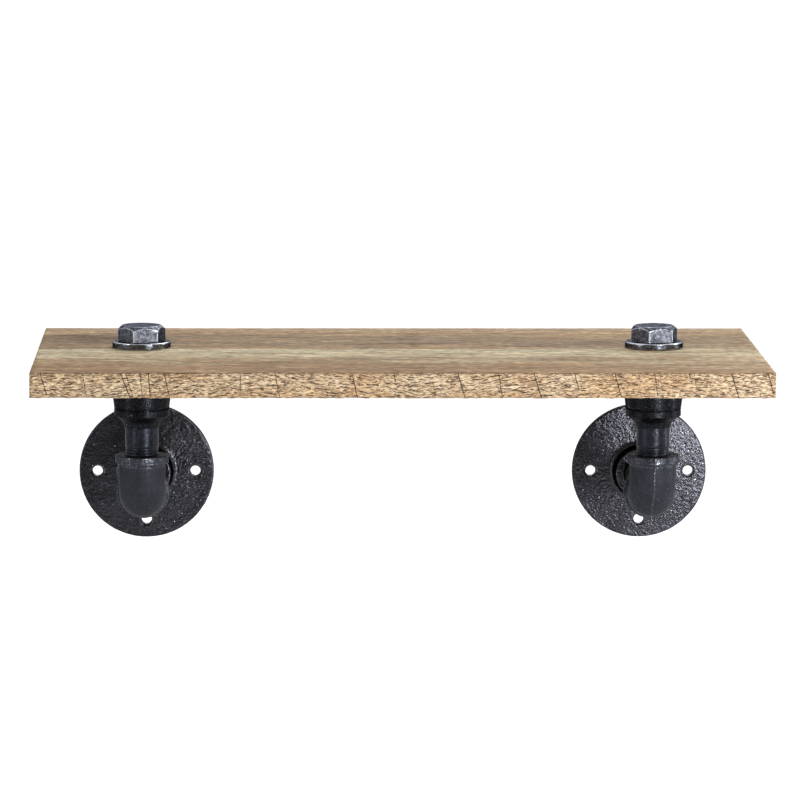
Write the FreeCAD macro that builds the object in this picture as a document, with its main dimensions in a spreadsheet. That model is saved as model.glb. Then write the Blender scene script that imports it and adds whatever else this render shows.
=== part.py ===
"""Wall shelf: one board carried by two brackets of screwed pipe fittings.

The wall is the plane y = 0 and the shelf stands out from it towards -Y. The origin lies on the
wall, midway between the two flanges, at the height of their centres. Each bracket runs from its
wall flange through a nipple, an elbow, a second nipple and a coupling up to the board, and a
hex-headed bolt with a washer clamps the board to the coupling.
"""

import FreeCAD, Part
import math
import os

import Sketcher

Vector = FreeCAD.Vector
os.makedirs("parts", exist_ok=True)
doc = FreeCAD.newDocument("PipeShelf")

# ---------------------------------------------------------------- driving dimensions, mm
SIZES = {
    "board_length": 457,
    "board_depth": 229,
    "board_thickness": 16,
    "board_easing": 0.6,  # the small bevel along every edge of the board
    "board_front": 128,  # from the front edge back to the line of the bolts
    "bracket_inset": 65.5,  # from each end of the board to the line of its bracket
    "pipe_od": 21.3,
    "pipe_bore": 15.8,
    "pipe_end_bevel": 0.8,
    "thread_od": 20.9,
    "thread_grip": 13.7,  # how far a threaded end goes into a fitting
    "thread_show": 5,  # thread left in view outside the fitting
    "thread_play": 0.15,  # radial, between a threaded end and its fitting
    "socket_relief": 0.8,  # room behind the end of a pipe in a fitting
    "mouth_bevel": 0.7,  # lead-in at every threaded mouth
    "arm_length": 101.6,
    "riser_length": 50.8,
    "flange_od": 88.9,
    "flange_rim": 4.6,  # thickness at the rim
    "flange_web": 5.8,  # thickness beside the hub
    "flange_height": 18.5,
    "flange_edge_bevel": 0.9,
    "hub_od": 32.5,
    "hub_foot_od": 35.5,
    "hub_foot_round": 3.2,
    "hub_top_bevel": 1.1,
    "screw_circle": 64.5,
    "screw_hole": 6.6,
    "screw_sink_od": 9.8,
    "elbow_reach": 28,
    "elbow_od": 30,
    "throat_round": 1.5,  # inner corner of the elbow
    "band_od": 34,
    "band_length": 5.6,
    "band_bevel": 0.8,
    "coupling_grip": 19,  # how far the riser goes into the coupling
    "coupling_length": 34.8,
    "coupling_od": 34,
    "coupling_top_bevel": 0.7,
    "bead_od": 35.4,
    "bead_length": 5.6,
    "bead_bevel": 0.6,
    "bead_groove": 1,  # width of the groove above the bead
    "bead_groove_depth": 0.7,
    "nose_length": 6,  # the tapered lower end of the coupling
    "nose_od": 24,
    "rib_width": 5,
    "rib_rise": 1.6,  # how far a rib stands proud of the barrel
    "rib_ramp": 10,  # the height over which it rises from the bead
    "left_rib_turn": 16.9,  # degrees
    "right_rib_turn": -9.8,
    "washer_od": 37.2,
    "washer_hole": 21.9,
    "washer_thickness": 4.1,
    "washer_bevel": 0.6,
    "board_hole": 22,
    "hex_flats": 27,
    "hex_height": 10,
    "hex_flat_od": 24.8,  # the round flat on top of the head
    "hex_bevel": 40,  # degrees
    "left_hex_turn": 12.6,
    "right_hex_turn": 14.4,
    "bolt_grip": 12,  # how far the bolt goes into the coupling
    "bolt_tip_bevel": 1.2,
}
sheet = doc.addObject("Spreadsheet::Sheet", "Sizes")
for row, (alias, amount) in enumerate(SIZES.items(), 1):
    sheet.set(f"A{row}", alias)
    sheet.set(f"B{row}", str(amount))
    sheet.setAlias(f"B{row}", alias)
doc.recompute()

# ---------------------------------------------------------------- places that follow from them
S = "Sizes."
SOCKET_BORE = f"({S}thread_od + 2 * {S}thread_play)"
SOCKET_DEPTH = f"({S}thread_grip + {S}socket_relief)"
ARM_START = f"({S}flange_height - {S}thread_grip)"
RISER_OUT = f"({ARM_START} + {S}arm_length - {S}thread_grip + {S}elbow_reach)"
RISER_FOOT = f"({S}elbow_reach - {S}thread_grip)"
COUPLING_FOOT = f"({RISER_FOOT} + {S}riser_length - {S}coupling_grip)"
BOARD_FOOT = f"({COUPLING_FOOT} + {S}coupling_length)"
BOARD_TOP = f"({BOARD_FOOT} + {S}board_thickness)"
HEAD_FOOT = f"({BOARD_TOP} + {S}washer_thickness)"
BEND = f"({S}elbow_od / 2 + {S}throat_round)"
BRACKET = f"({S}board_length / 2 - {S}bracket_inset)"
SIDES = (("left", -1), ("right", 1))


def amount_of(expression):
    """The number that an expression on the sheet stands for."""
    return float(sheet.evalExpression(expression))


def half(alias):
    return f"{S}{alias} / 2"


# ---------------------------------------------------------------- modelling helpers
def new_body(label):
    body = doc.addObject("PartDesign::Body", label)
    body.Label = label
    return body


def new_sketch(body, role, name, offset=None):
    """A sketch on one of the body's own origin planes, moved along its normal by offset."""
    sketch = body.newObject("Sketcher::SketchObject", name)
    plane = [f for f in body.Origin.OriginFeatures if f.Role == role][0]
    sketch.AttachmentSupport = [(plane, "")]
    sketch.MapMode = "FlatFace"
    if offset is not None:
        sketch.setExpression("AttachmentOffset.Base.z", offset)
    return sketch


def pin(sketch, geometry, point, x, y):
    """Dimensions one point of the sketch from its origin; a plain 0 puts it on the axis."""
    for kind, axis, expression in (("DistanceX", -2, x), ("DistanceY", -1, y)):
        if expression == "0":
            sketch.addConstraint(Sketcher.Constraint("PointOnObject", geometry, point, axis))
            continue
        size = amount_of(expression)
        index = sketch.addConstraint(
            Sketcher.Constraint(kind, -1, 1, geometry, point, size)
        )
        sketch.setExpression(f"Constraints[{index}]", expression)


def draw_outline(sketch, corners):
    """Draws a closed outline of straight lines; each corner is a pair of expressions."""
    spots = [Vector(amount_of(x), amount_of(y), 0) for x, y in corners]
    lines = []
    for start, stop in zip(spots, spots[1:] + spots[:1]):
        lines.append(sketch.addGeometry(Part.LineSegment(start, stop), False))
    for line, after in zip(lines, lines[1:] + lines[:1]):
        sketch.addConstraint(Sketcher.Constraint("Coincident", line, 2, after, 1))
    for line, (x, y) in zip(lines, corners):
        pin(sketch, line, 1, x, y)


def draw_circle(sketch, x, y, diameter):
    spot = Vector(amount_of(x), amount_of(y), 0)
    circle = Part.Circle(spot, Vector(0, 0, 1), amount_of(diameter) / 2)
    index = sketch.addGeometry(circle, False)
    pin(sketch, index, 3, x, y)
    size = sketch.addConstraint(
        Sketcher.Constraint("Diameter", index, amount_of(diameter))
    )
    sketch.setExpression(f"Constraints[{size}]", diameter)


def draw_axis(sketch, x, low, high):
    """An upright construction line, which a feature can turn or repeat about."""
    bottom = Vector(amount_of(x), amount_of(low), 0)
    top = Vector(amount_of(x), amount_of(high), 0)
    index = sketch.addGeometry(Part.LineSegment(bottom, top), True)
    pin(sketch, index, 1, x, low)
    pin(sketch, index, 2, x, high)


def revolve(body, sketch, name, kind="PartDesign::Revolution", axis="V_Axis"):
    feature = body.newObject(kind, name)
    feature.Profile = sketch
    feature.ReferenceAxis = (sketch, [axis])
    feature.Angle = 360
    return feature


def extrude(body, sketch, name, length, kind="PartDesign::Pad", back=False):
    feature = body.newObject(kind, name)
    feature.Profile = sketch
    feature.setExpression("Length", length)
    feature.Reversed = back
    return feature


def rings(feature, places):
    """Names of the round edges at the given (height, diameter) pairs, read along Z."""
    wanted = [(amount_of(z), amount_of(d) / 2) for z, d in places]
    names = []
    for number, edge in enumerate(feature.Shape.Edges, 1):
        curve = edge.Curve
        if curve.TypeId != "Part::GeomCircle":
            continue
        for z, radius in wanted:
            if abs(curve.Center.z - z) < 1e-4 and abs(curve.Radius - radius) < 1e-4:
                names.append(f"Edge{number}")
    return names


def dress(body, base, name, edges, size, kind="PartDesign::Fillet"):
    """Rounds or bevels edges of the base feature; size is an expression."""
    feature = body.newObject(kind, name)
    feature.Base = (base, edges)
    feature.setExpression("Radius" if kind.endswith("Fillet") else "Size", size)
    return feature


def seat(body, x, y, z, turn=None):
    """Puts a body at expressions x, y and z, after an optional fixed rotation."""
    if turn is not None:
        body.Placement = FreeCAD.Placement(Vector(0, 0, 0), turn)
    for axis, expression in (("x", x), ("y", y), ("z", z)):
        body.setExpression(f"Placement.Base.{axis}", expression)


MOUTH_PLANES = ("XZ_Plane", "XY_Plane")  # the V axis of each runs out of one mouth of the elbow
OUT_FROM_WALL = FreeCAD.Rotation(Vector(1, 0, 0), 90)  # takes local +Z to -Y


def lead_in(radius, face):
    """Two corners of a section that lead a threaded bore out to its face with a bevel."""
    bevel = f"{S}mouth_bevel"
    return [(radius, f"{face} - {bevel}"), (f"{radius} + {bevel}", face)]


# ---------------------------------------------------------------- the pieces
def make_board():
    body = new_body("shelf_board")
    sketch = new_sketch(body, "XY_Plane", "board_outline")
    x, front = half("board_length"), f"-{S}board_front"
    back = f"{S}board_depth - {S}board_front"
    draw_outline(sketch, [(f"-{x}", front), (x, front), (x, back), (f"-{x}", back)])
    plank = extrude(body, sketch, "board_plank", f"{S}board_thickness")
    doc.recompute()
    edges = [f"Edge{i}" for i in range(1, len(plank.Shape.Edges) + 1)]
    dress(body, plank, "board_easing", edges, f"{S}board_easing", "PartDesign::Chamfer")
    holes = new_sketch(body, "XY_Plane", "bolt_hole_circles")
    for sign in ("-", ""):
        draw_circle(holes, f"{sign}{BRACKET}", "0", f"{S}board_hole")
    depth = f"{S}board_thickness"
    extrude(body, holes, "bolt_holes", depth, "PartDesign::Pocket", back=True)
    seat(body, "0", f"-{RISER_OUT}", BOARD_FOOT)
    return body


def make_flange(side, sign):
    """Cast floor flange: a dished disc with a threaded hub and four countersunk holes."""
    body = new_body(f"{side}_wall_flange")
    sketch = new_sketch(body, "XZ_Plane", "flange_half_section")
    rim, web, top = f"{S}flange_rim", f"{S}flange_web", f"{S}flange_height"
    hub, foot = half("hub_od"), half("hub_foot_od")
    corners = [
        ("0", "0"),
        (half("flange_od"), "0"),
        (half("flange_od"), rim),
        (foot, web),
        (hub, top),
        ("0", top),
    ]
    draw_outline(sketch, corners)
    disc = revolve(body, sketch, "flange_casting")
    doc.recompute()
    shapes = (
        ("hub_foot_round", web, f"{S}hub_foot_od", "PartDesign::Fillet"),
        ("hub_top_bevel", top, f"{S}hub_od", "PartDesign::Chamfer"),
        ("flange_edge_bevel", rim, f"{S}flange_od", "PartDesign::Chamfer"),
    )
    for name, height, across, kind in shapes:
        edges = rings(disc, [(height, across)])
        disc = dress(body, disc, f"cast_{name}", edges, f"{S}{name}", kind)
        doc.recompute()
    bore = new_sketch(body, "XZ_Plane", "flange_bore_section")
    inner, wide = half("pipe_bore"), f"{SOCKET_BORE} / 2"
    step = f"{top} - {SOCKET_DEPTH}"
    corners = [("0", "0"), (inner, "0"), (inner, step), (wide, step)]
    draw_outline(bore, corners + lead_in(wide, top) + [("0", top)])
    revolve(body, bore, "flange_bore", "PartDesign::Groove")
    screw = new_sketch(body, "XZ_Plane", "screw_hole_section")
    centre, small, large = half("screw_circle"), half("screw_hole"), half("screw_sink_od")
    sink = f"{web} - ({S}screw_sink_od - {S}screw_hole) / 2"
    corners = [
        (centre, "0"),
        (f"{centre} + {small}", "0"),
        (f"{centre} + {small}", sink),
        (f"{centre} + {large}", web),
        (centre, web),
    ]
    draw_outline(screw, corners)
    draw_axis(screw, centre, "0", web)
    hole = revolve(body, screw, "screw_hole", "PartDesign::Groove", "Axis0")
    holes = body.newObject("PartDesign::PolarPattern", "screw_holes")
    holes.Originals = [hole]
    holes.Axis = (bore, ["V_Axis"])
    holes.Angle = 360
    holes.Occurrences = 4
    body.Tip = holes
    seat(body, f"{sign} * {BRACKET}", "0", "0", OUT_FROM_WALL)
    return body


def make_nipple(label, length, x, y, z, turn=None):
    """A length of pipe, turned down to a thread land at both ends."""
    body = new_body(label)
    sketch = new_sketch(body, "XZ_Plane", f"{label}_section")
    bore, thread, pipe = half("pipe_bore"), half("thread_od"), half("pipe_od")
    bevel = f"{S}pipe_end_bevel"
    land = f"({S}thread_grip + {S}thread_show)"
    full = f"{S}{length}"
    corners = [
        (bore, "0"),
        (f"{thread} - {bevel}", "0"),
        (thread, bevel),
        (thread, land),
        (pipe, f"{land} + ({S}pipe_od - {S}thread_od) / 2"),
        (pipe, f"{full} - {land} - ({S}pipe_od - {S}thread_od) / 2"),
        (thread, f"{full} - {land}"),
        (thread, f"{full} - {bevel}"),
        (f"{thread} - {bevel}", full),
        (bore, full),
    ]
    draw_outline(sketch, corners)
    revolve(body, sketch, f"{label}_tube")
    seat(body, x, y, z, turn)
    return body


def make_elbow(side, sign):
    """Cast 90 degree elbow: a swept body with a raised band and a threaded socket at each mouth."""
    body = new_body(f"{side}_elbow")
    reach, bend = f"{S}elbow_reach", BEND
    path = new_sketch(body, "YZ_Plane", "elbow_centre_line")
    draw_route(path, reach, bend)
    mouth = new_sketch(body, "XY_Plane", "elbow_mouth", reach)
    draw_circle(mouth, "0", "0", f"{S}elbow_od")
    doc.recompute()
    pipe = body.newObject("PartDesign::AdditivePipe", "elbow_casting")
    pipe.Profile = mouth
    pipe.Spine = path
    doc.recompute()
    foot, wide, bevel = f"{reach} - {S}band_length", half("band_od"), f"{S}band_bevel"
    for role in MOUTH_PLANES:
        band = new_sketch(body, role, f"band_section_{role[:2]}")
        corners = [
            ("0", foot),
            (f"{wide} - {bevel}", foot),
            (wide, f"{foot} + {bevel}"),
            (wide, f"{reach} - {bevel}"),
            (f"{wide} - {bevel}", reach),
            ("0", reach),
        ]
        draw_outline(band, corners)
        revolve(body, band, f"band_{role[:2]}")
    water = new_sketch(body, "XY_Plane", "waterway_mouth", reach)
    draw_circle(water, "0", "0", f"{S}pipe_bore")
    doc.recompute()
    hollow = body.newObject("PartDesign::SubtractivePipe", "waterway")
    hollow.Profile = water
    hollow.Spine = path
    doc.recompute()
    bore, floor = f"{SOCKET_BORE} / 2", f"{reach} - {SOCKET_DEPTH}"
    for role in MOUTH_PLANES:
        socket = new_sketch(body, role, f"socket_section_{role[:2]}")
        corners = [("0", floor), (bore, floor)]
        draw_outline(socket, corners + lead_in(bore, reach) + [("0", reach)])
        revolve(body, socket, f"socket_{role[:2]}", "PartDesign::Groove")
    seat(body, f"{sign} * {BRACKET}", f"-{RISER_OUT}", "0")
    return body


def draw_route(sketch, reach, bend):
    """The elbow's centre line: down from the upper mouth, round the bend, out to the rear one."""
    far, near = amount_of(reach), amount_of(bend)
    down = sketch.addGeometry(Part.LineSegment(Vector(0, far, 0), Vector(0, near, 0)), False)
    circle = Part.Circle(Vector(near, near, 0), Vector(0, 0, 1), near)
    arc = sketch.addGeometry(Part.ArcOfCircle(circle, math.pi, 1.5 * math.pi), False)
    out = sketch.addGeometry(Part.LineSegment(Vector(near, 0, 0), Vector(far, 0, 0)), False)
    sketch.addConstraint(Sketcher.Constraint("Coincident", down, 2, arc, 1))
    sketch.addConstraint(Sketcher.Constraint("Coincident", arc, 2, out, 1))
    pin(sketch, down, 1, "0", reach)
    pin(sketch, down, 2, "0", bend)
    pin(sketch, out, 1, bend, "0")
    pin(sketch, out, 2, reach, "0")
    size = sketch.addConstraint(Sketcher.Constraint("Radius", arc, near))
    sketch.setExpression(f"Constraints[{size}]", bend)


def make_coupling(side, sign):
    """Coupling: a ribbed barrel under the board, then a groove, a bead and a tapered nose."""
    body = new_body(f"{side}_coupling")
    sketch = new_sketch(body, "XZ_Plane", "coupling_half_section")
    nose, bead = half("nose_od"), half("bead_od")
    barrel, top, soft = half("coupling_od"), f"{S}coupling_length", f"{S}bead_bevel"
    bead_low = f"{S}nose_length"
    bead_high = f"({bead_low} + {S}bead_length)"
    groove_high = f"{bead_high} + {S}bead_groove"
    groove = f"{barrel} - {S}bead_groove_depth"
    brow, lead = f"{S}coupling_top_bevel", f"{S}mouth_bevel"
    corners = [
        ("0", "0"),
        (nose, "0"),
        (bead, bead_low),
        (bead, f"{bead_high} - {soft}"),
        (f"{bead} - {soft}", bead_high),
        (groove, bead_high),
        (groove, groove_high),
        (barrel, groove_high),
        (barrel, f"{top} - {brow}"),
        (f"{barrel} - {brow}", top),
        ("0", top),
    ]
    draw_outline(sketch, corners)
    revolve(body, sketch, "coupling_casting")
    ribs = new_sketch(body, "XZ_Plane", "rib_outline")
    high, low = f"{top} - {brow}", f"{bead_low} + {S}bead_length / 2"
    proud, flush = f"({barrel} + {S}rib_rise)", f"({bead} - {S}bead_groove_depth / 2)"
    right_side = [(flush, low), (proud, f"{low} + {S}rib_ramp"), (proud, high)]
    left_side = [(f"-{x}", z) for x, z in right_side[::-1]]
    draw_outline(ribs, right_side + left_side)
    bar = extrude(body, ribs, "coupling_ribs", f"{S}rib_width")
    bar.Midplane = True
    bore = new_sketch(body, "XZ_Plane", "coupling_bore_section")
    wide, slip = f"{SOCKET_BORE} / 2", f"({S}pipe_od / 2 + {S}thread_play)"
    corners = [("0", "0"), (f"{slip} + {lead}", "0"), (slip, lead), (slip, bead_low)]
    draw_outline(bore, corners + [(wide, bead_low)] + lead_in(wide, top) + [("0", top)])
    revolve(body, bore, "coupling_bore", "PartDesign::Groove")
    body.setExpression("Placement.Rotation.Angle", f"{S}{side}_rib_turn")
    seat(body, f"{sign} * {BRACKET}", f"-{RISER_OUT}", COUPLING_FOOT)
    return body


def make_washer(side, sign):
    body = new_body(f"{side}_bolt_washer")
    sketch = new_sketch(body, "XY_Plane", "washer_rings")
    draw_circle(sketch, "0", "0", f"{S}washer_od")
    draw_circle(sketch, "0", "0", f"{S}washer_hole")
    disc = extrude(body, sketch, "washer_disc", f"{S}washer_thickness")
    doc.recompute()
    edges = rings(disc, [(f"{S}washer_thickness", f"{S}washer_od")])
    dress(body, disc, "washer_bevelling", edges, f"{S}washer_bevel", "PartDesign::Chamfer")
    seat(body, f"{sign} * {BRACKET}", f"-{RISER_OUT}", BOARD_TOP)
    return body


def make_bolt(side, sign):
    """Hex-headed bolt; local z = 0 is the underside of the head."""
    body = new_body(f"{side}_clamp_bolt")
    sketch = new_sketch(body, "XY_Plane", "hex_outline")
    flat = half("hex_flats")
    corner = f"{flat} / cos(30)"
    hexagon = []
    for x, y in ((1, 0), (0.5, 1), (-0.5, 1), (-1, 0), (-0.5, -1), (0.5, -1)):
        hexagon.append((f"{x} * {corner}", f"{y} * {flat}" if y else "0"))
    draw_outline(sketch, hexagon)
    extrude(body, sketch, "hex_head", f"{S}hex_height")
    bevel = new_sketch(body, "XZ_Plane", "head_bevel_section")
    inner, outer, top = half("hex_flat_od"), f"{S}hex_flats * 0.75", f"{S}hex_height"
    low = f"{top} - ({outer} - {inner}) * tan({S}hex_bevel)"
    draw_outline(bevel, [(inner, top), (outer, top), (outer, low)])
    revolve(body, bevel, "head_bevel", "PartDesign::Groove")
    shank = new_sketch(body, "XZ_Plane", "shank_half_section")
    edge, tip = half("thread_od"), f"{S}bolt_tip_bevel"
    end = f"-({S}washer_thickness + {S}board_thickness + {S}bolt_grip)"
    corners = [
        ("0", "0"),
        ("0", end),
        (f"{edge} - {tip}", end),
        (edge, f"{end} + {tip}"),
        (edge, "0"),
    ]
    draw_outline(shank, corners)
    revolve(body, shank, "bolt_shank")
    body.setExpression("Placement.Rotation.Angle", f"{S}{side}_hex_turn")
    seat(body, f"{sign} * {BRACKET}", f"-{RISER_OUT}", HEAD_FOOT)
    return body


bodies = [make_board()]
for side_name, side_sign in SIDES:
    across = f"{side_sign} * {BRACKET}"
    bodies.append(make_flange(side_name, side_sign))
    bodies.append(
        make_nipple(
            f"{side_name}_arm_nipple", "arm_length", across, f"-{ARM_START}", "0", OUT_FROM_WALL
        )
    )
    bodies.append(make_elbow(side_name, side_sign))
    bodies.append(
        make_nipple(
            f"{side_name}_riser_nipple", "riser_length", across, f"-{RISER_OUT}", RISER_FOOT
        )
    )
    bodies.append(make_coupling(side_name, side_sign))
    bodies.append(make_washer(side_name, side_sign))
    bodies.append(make_bolt(side_name, side_sign))

# ---------------------------------------------------------------- check and write
doc.recompute()
faults = []
for item in doc.Objects:
    if "Invalid" in item.State or "Error" in item.State:
        faults.append(f"{item.Label}: {item.State}")
for body in bodies:
    if body.Shape.isNull() or not body.Shape.isValid() or len(body.Shape.Solids) != 1:
        faults.append(f"{body.Label}: not one valid solid")
if faults:
    raise RuntimeError("; ".join(faults))
for body in bodies:
    body.Shape.exportStep(f"parts/{body.Label}.step")
    box = body.Shape.BoundBox
    print(
        f"{body.Label}: volume {body.Shape.Volume:.1f} "
        f"x {box.XMin:.2f} {box.XMax:.2f} y {box.YMin:.2f} {box.YMax:.2f} "
        f"z {box.ZMin:.2f} {box.ZMax:.2f}"
    )
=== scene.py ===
"""Looks for a wall shelf: one sawn board carried by two brackets of black screwed pipe fittings.

A piece is made in millimetres, in the frame of the solids: the wall is y = 0, the shelf stands
out towards -Y and +Z is up. Its mesh becomes metres when it is finished.
"""

import itertools
import math

import bmesh
import bpy
import numpy as np
from mathutils import Matrix, Vector


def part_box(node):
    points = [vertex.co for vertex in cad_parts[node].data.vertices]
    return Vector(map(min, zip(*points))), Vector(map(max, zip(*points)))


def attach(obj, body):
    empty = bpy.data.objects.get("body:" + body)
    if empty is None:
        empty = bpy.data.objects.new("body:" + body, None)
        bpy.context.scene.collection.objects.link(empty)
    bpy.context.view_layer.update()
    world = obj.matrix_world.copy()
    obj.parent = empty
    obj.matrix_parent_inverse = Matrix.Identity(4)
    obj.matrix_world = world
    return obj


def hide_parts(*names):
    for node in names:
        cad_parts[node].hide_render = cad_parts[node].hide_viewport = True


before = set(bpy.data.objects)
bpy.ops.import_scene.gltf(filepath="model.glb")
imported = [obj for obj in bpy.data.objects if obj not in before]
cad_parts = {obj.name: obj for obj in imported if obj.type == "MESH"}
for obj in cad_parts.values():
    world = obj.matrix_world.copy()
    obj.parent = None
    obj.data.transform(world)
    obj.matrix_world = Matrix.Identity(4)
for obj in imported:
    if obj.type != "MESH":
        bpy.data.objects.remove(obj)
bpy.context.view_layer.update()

MM = 0.001
FULL_TURN = 2 * math.pi
ACROSS, OUT, UP = (1, 0, 0), (0, -1, 0), (0, 0, 1)
SIDES = ("left", "right")
scene = bpy.context.scene

# ---------------------------------------------------------------- sizes of the parts, mm
BOARD_LENGTH, BOARD_THICKNESS, BOARD_TOP = 457.0, 16.0, 96.9
STAVE_SEAM, BOLT_HOLE_RADIUS = -130.8, 11.0
PIPE_RADIUS, BORE_RADIUS, PIPE_BEVEL = 10.65, 7.9, 0.8
THREAD_RADIUS, THREAD_PITCH, THREAD_DEPTH, THREAD_RUN = 10.45, 1.814, 0.5, 18.7
SOCKET_RADIUS, MOUTH_RADIUS, MOUTH_BEVEL, SOCKET_DEPTH = 10.6, 11.3, 0.7, 14.5
SCREW_CIRCLE, SCREW_RADIUS, SINK_START, SINK_RADIUS = 32.25, 3.3, 3.6, 6.7
FLANGE_RADIUS, FLANGE_RIM, FLANGE_WEB, FLANGE_HEIGHT = 44.45, 4.6, 5.8, 18.5
HUB_FOOT_RADIUS, HUB_TOP_RADIUS = 17.75, 16.25
ELBOW_REACH, ELBOW_BEND, ELBOW_RADIUS, BAND_RADIUS, BAND_LENGTH = 28, 16.5, 15, 17, 5.6
SEAM_RIDGE = {"left": 0.1, "right": 0.25}
BEAD_LOW, BEAD_HIGH, BEAD_RADIUS, GROOVE_RADIUS, BARREL_RADIUS = 6.0, 11.6, 17.7, 16.3, 17.0
NOSE_BORE_RADIUS, NOSE_TIP_RADIUS, NOSE_WAIST_RADIUS = 10.8, 11.3, 12.4
RIB_START, RIB_RAMP, RIB_RADIUS, RIB_RISE, RIB_HALF_WIDTH = 8.8, 10, 17.35, 1.25, 3.0
RIB_TURN = {"left": 16.9, "right": -9.8}  # degrees
WASHER_RADIUS, WASHER_HOLE_RADIUS = 18.6, 10.95
HEX_APOTHEM, HEX_HEIGHT, HEX_FLAT_RADIUS, HEX_BEVEL = 13.5, 10, 12.4, math.radians(40)
HEX_CORNER_POWER = 150  # a higher power makes a sharper corner
HEX_TURN = {"left": 12.6, "right": 14.4}  # degrees


# ---------------------------------------------------------------- node helpers
def fill(tree, sockets, values):
    """Links each named socket whose value is a node's output, and sets the others."""
    for key, value in values.items():
        if isinstance(value, bpy.types.NodeSocket):
            tree.links.new(value, sockets[key])
        else:
            sockets[key].default_value = value


def put(tree, kind, inputs, out=0, **settings):
    """Adds one shader node, fills its inputs and gives back one of its outputs."""
    node = tree.nodes.new("ShaderNode" + kind)
    for key, value in settings.items():
        setattr(node, key, value)
    fill(tree, node.inputs, inputs)
    return node.outputs[out]


def calc(tree, operation, *values):
    return put(tree, "Math", dict(enumerate(values)), operation=operation)


def swing(tree, value, size):
    """Takes noise from 0..1 to a swing round nothing that is size wide."""
    return calc(tree, "MULTIPLY", calc(tree, "SUBTRACT", value, 0.5), size)


def gap_to(tree, value, level):
    return calc(tree, "ABSOLUTE", calc(tree, "SUBTRACT", value, level))


def mingle(tree, first, second, share):
    """Adds up two noises: share of the first and the rest of the second."""
    rest = calc(tree, "MULTIPLY", second, 1 - share)
    return calc(tree, "ADD", calc(tree, "MULTIPLY", first, share), rest)


def vector(tree, operation, first, second):
    """Vector arithmetic; to scale, the second value is a plain number."""
    inputs = {0: first, "Scale" if operation == "SCALE" else 1: second}
    return put(tree, "VectorMath", inputs, operation=operation)


def length_of(tree, value):
    return put(tree, "VectorMath", {0: value}, out="Value", operation="LENGTH")


def part_of(tree, place, axis):
    """One part of a place: 0, 1 or 2 for X, Y or Z."""
    return put(tree, "SeparateXYZ", {0: place}, out=axis)


def fit_range(tree, value, low, high, to_low=0.0, to_high=1.0, smooth=True):
    """Takes low..high to to_low..to_high, held at both ends."""
    inputs = {"Value": value, "From Min": low, "From Max": high}
    inputs.update({"To Min": to_low, "To Max": to_high})
    return put(tree, "MapRange", inputs, interpolation_type="SMOOTHSTEP" if smooth else "LINEAR")


def blend(tree, share, first, second, kind="MIX"):
    """Mixes two colours; share is how much of the second shows."""
    inputs = {0: share, 6: first, 7: second}
    return put(tree, "Mix", inputs, out=2, data_type="RGBA", blend_type=kind)


def shade(tree, colour, level):
    """Makes a colour darker where the level is under 1 and paler where it is over 1."""
    grey = put(tree, "CombineColor", {0: level, 1: level, 2: level})
    return blend(tree, 1.0, colour, grey, "MULTIPLY")


def paint(red, green, blue):
    """A colour as it is seen on a screen, from 0 to 255, for a shader's socket."""
    linear = []
    for part in (red, green, blue):
        part /= 255
        linear.append(part / 12.92 if part <= 0.04045 else ((part + 0.055) / 1.055) ** 2.4)
    return (*linear, 1)


def ramp(tree, value, stops):
    """A colour ramp; each stop is (place, colour)."""
    colour = put(tree, "ValToRGB", {0: value})
    band = colour.node.color_ramp
    band.elements[0].position, band.elements[0].color = stops[0]
    band.elements[1].position, band.elements[1].color = stops[-1]
    for place, tone in stops[1:-1]:
        band.elements.new(place).color = tone
    return colour


def mask(tree, name):
    """A value that the mesh carries at each point."""
    return put(tree, "Attribute", {}, out="Fac", attribute_name=name)


def spot_mm(tree):
    """The place on the surface, in millimetres."""
    return vector(tree, "SCALE", put(tree, "TexCoord", {}, out="Object"), 1000.0)


def noise(tree, place, lengths, detail=2.0, roughness=0.5, out="Fac", shift=(0, 0, 0)):
    """Soft noise whose lumps are about lengths millimetres along X, Y and Z."""
    scaled = vector(tree, "DIVIDE", vector(tree, "ADD", place, shift), lengths)
    inputs = {"Vector": scaled, "Scale": 1.0, "Detail": detail, "Roughness": roughness}
    return put(tree, "TexNoise", inputs, out=out)


def new_group(name, inputs, outputs):
    """An empty shader group of plain values: its inputs with what they start at, its outputs."""
    tree = bpy.data.node_groups.new(name, "ShaderNodeTree")
    for label, value in inputs.items():
        socket = tree.interface.new_socket(label, in_out="INPUT", socket_type="NodeSocketFloat")
        socket.default_value = value
    for label in outputs:
        tree.interface.new_socket(label, in_out="OUTPUT", socket_type="NodeSocketFloat")
    entry, leave = tree.nodes.new("NodeGroupInput"), tree.nodes.new("NodeGroupOutput")
    return tree, entry.outputs, leave.inputs


def use(tree, group, **values):
    """Places a shader group in a material; underscores in a name stand for spaces."""
    node = tree.nodes.new("ShaderNodeGroup")
    node.node_tree = group
    fill(tree, node.inputs, {key.replace("_", " "): value for key, value in values.items()})
    return node.outputs


def new_finish(name):
    """A material with its Principled shader, ready for its colour, roughness and bump."""
    finish = bpy.data.materials.new(name)
    finish.use_nodes = True
    return finish, finish.node_tree, finish.node_tree.nodes["Principled BSDF"].inputs


def raise_bump(tree, height, distance, strength):
    """A bump that stands distance millimetres proud where height is 1."""
    return put(tree, "Bump", {"Height": height, "Distance": distance * MM, "Strength": strength})


# ---------------------------------------------------------------- effects shared by the finishes
def make_edge_wear():
    """Where handling has rubbed the finish off the proud edges, in broken patches."""
    inputs = {"Start": 0.05, "Full": 0.12, "Breakup": 0.08}
    tree, given, result = new_group("edge_wear", inputs, ["Worn"])
    patches = noise(tree, spot_mm(tree), (1.5, 1.5, 1.5), detail=3.0, roughness=0.65)
    height = calc(tree, "ADD", mask(tree, "crest"), swing(tree, patches, given["Breakup"]))
    fill(tree, result, {"Worn": fit_range(tree, height, given["Start"], given["Full"])})
    return tree


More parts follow.
